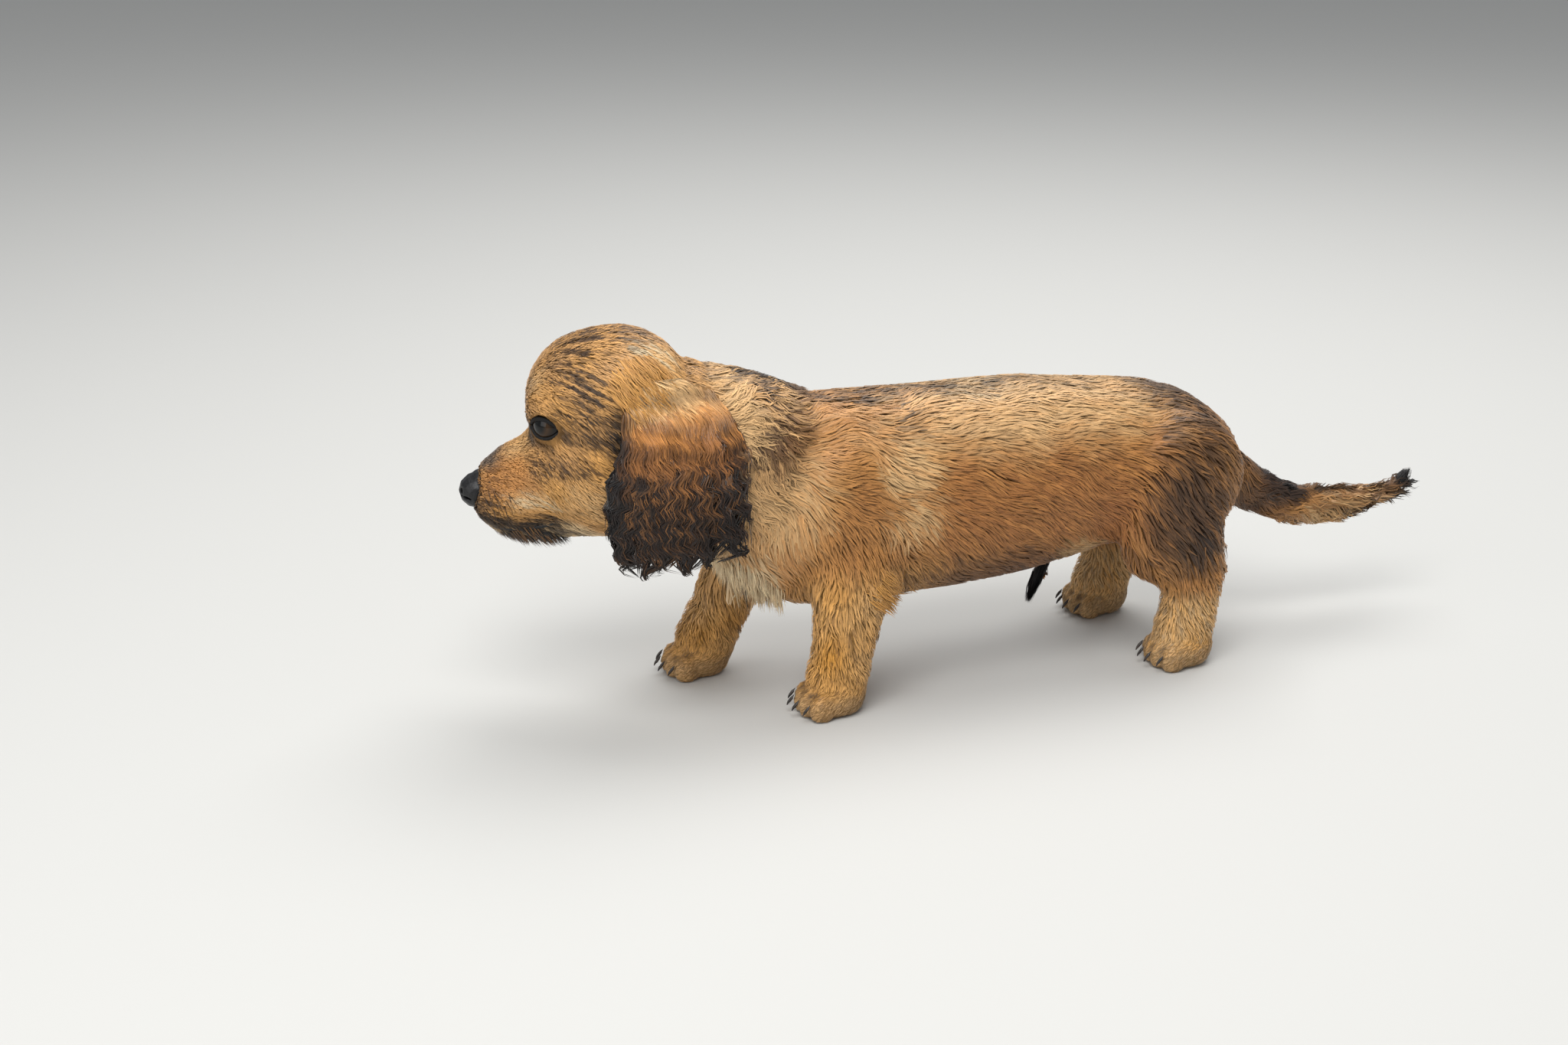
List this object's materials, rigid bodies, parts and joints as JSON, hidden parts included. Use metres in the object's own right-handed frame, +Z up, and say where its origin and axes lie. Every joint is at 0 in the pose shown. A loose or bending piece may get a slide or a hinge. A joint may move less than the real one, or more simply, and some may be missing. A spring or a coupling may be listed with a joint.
{
  "type": "dachshund puppy",
  "caption": "Long-haired dachshund puppy standing still with its head turned a little to its right, wavy drop ears, short legs and a low level tail; a life-size display model.",
  "frame": {"origin": "middle of the model's box, on the floor its paws stand on", "axes": "+Z up; the dog looks along -X with its tail towards +X; its left side is -Y and its right side is +Y"},
  "size_m": [0.5038, 0.1082, 0.1882],
  "materials": {
    "coat_tan": "tan hair with dark streaks",
    "coat_sable": "red sable hair, dark along the back",
    "coat_gold": "golden tan hair",
    "coat_dark": "long wavy dark brown hair",
    "nose_leather": "moist black",
    "eye": "wet dark brown",
    "claw": "smooth dark horn"
  },
  "bodies": {
    "root": {"head": "coat_tan", "jaw": "coat_tan", "nose": "nose_leather", "eye_left": "eye", "eye_right": "eye", "ear_left": "coat_dark", "ear_right": "coat_dark", "neck": "coat_tan", "torso": "coat_sable", "tail": "coat_dark", "leg_front_left": "coat_gold", "leg_front_right": "coat_gold", "leg_hind_left": "coat_gold", "leg_hind_right": "coat_gold", "claw_front_left_1": "claw", "claw_front_left_2": "claw", "claw_front_left_3": "claw", "claw_front_left_4": "claw", "claw_front_right_1": "claw", "claw_front_right_2": "claw", "claw_front_right_3": "claw", "claw_front_right_4": "claw", "claw_hind_left_1": "claw", "claw_hind_left_2": "claw", "claw_hind_left_3": "claw", "claw_hind_left_4": "claw", "claw_hind_right_1": "claw", "claw_hind_right_2": "claw", "claw_hind_right_3": "claw", "claw_hind_right_4": "claw"}
  },
  "joints": []
}
